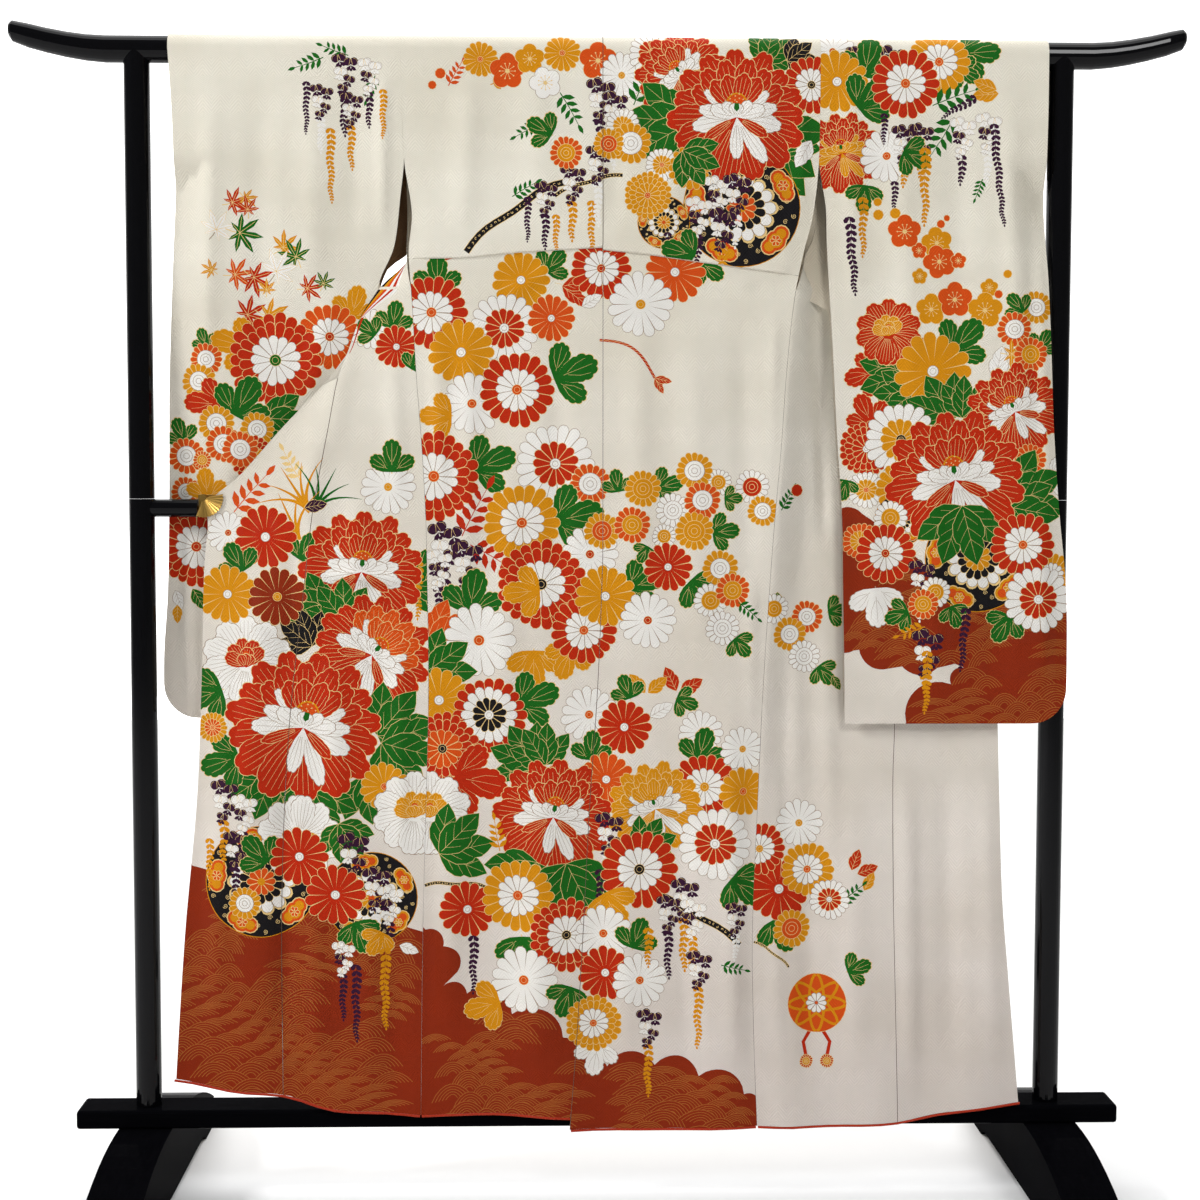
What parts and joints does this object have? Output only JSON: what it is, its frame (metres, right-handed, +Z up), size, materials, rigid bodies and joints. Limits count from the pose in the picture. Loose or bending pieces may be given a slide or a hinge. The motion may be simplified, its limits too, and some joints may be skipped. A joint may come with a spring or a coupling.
{
  "type": "furisode on display stand",
  "caption": "Long-sleeved silk kimono hung open, back to the viewer, over the bar of a black lacquer display stand, with its fronts clipped out to the sides.",
  "frame": {"origin": "on the floor, midway between the two feet and midway along them", "axes": "+Z up, +X to the viewer's right along the bar, -Y towards the viewer, who sees the back of the garment"},
  "size_m": [1.754, 0.68, 1.7743],
  "materials": {
    "lacquer": "high-gloss black lacquer on wood",
    "brass": "satin gold",
    "silk": "ivory figured silk with soft sheen, printed with flowers",
    "red_silk": "plain red silk"
  },
  "bodies": {
    "root": {"top_bar": "lacquer", "crossbar": "lacquer", "post_left_lower": "lacquer", "post_left_upper": "lacquer", "post_right_lower": "lacquer", "post_right_upper": "lacquer", "foot_left": "lacquer", "foot_right": "lacquer", "arm_left": "lacquer", "arm_right": "lacquer", "fan_clip_left": "brass", "fan_clip_right": "brass", "clip_jaw_left": "brass", "clip_jaw_right": "brass", "body_left": "silk", "body_right": "silk", "okumi_left": "silk", "okumi_right": "silk", "sleeve_left": "silk", "sleeve_right": "silk", "collar": "silk", "hem_roll_back_left": "red_silk", "hem_roll_front_left": "red_silk", "hem_roll_back_right": "red_silk", "hem_roll_front_right": "red_silk"}
  },
  "joints": []
}
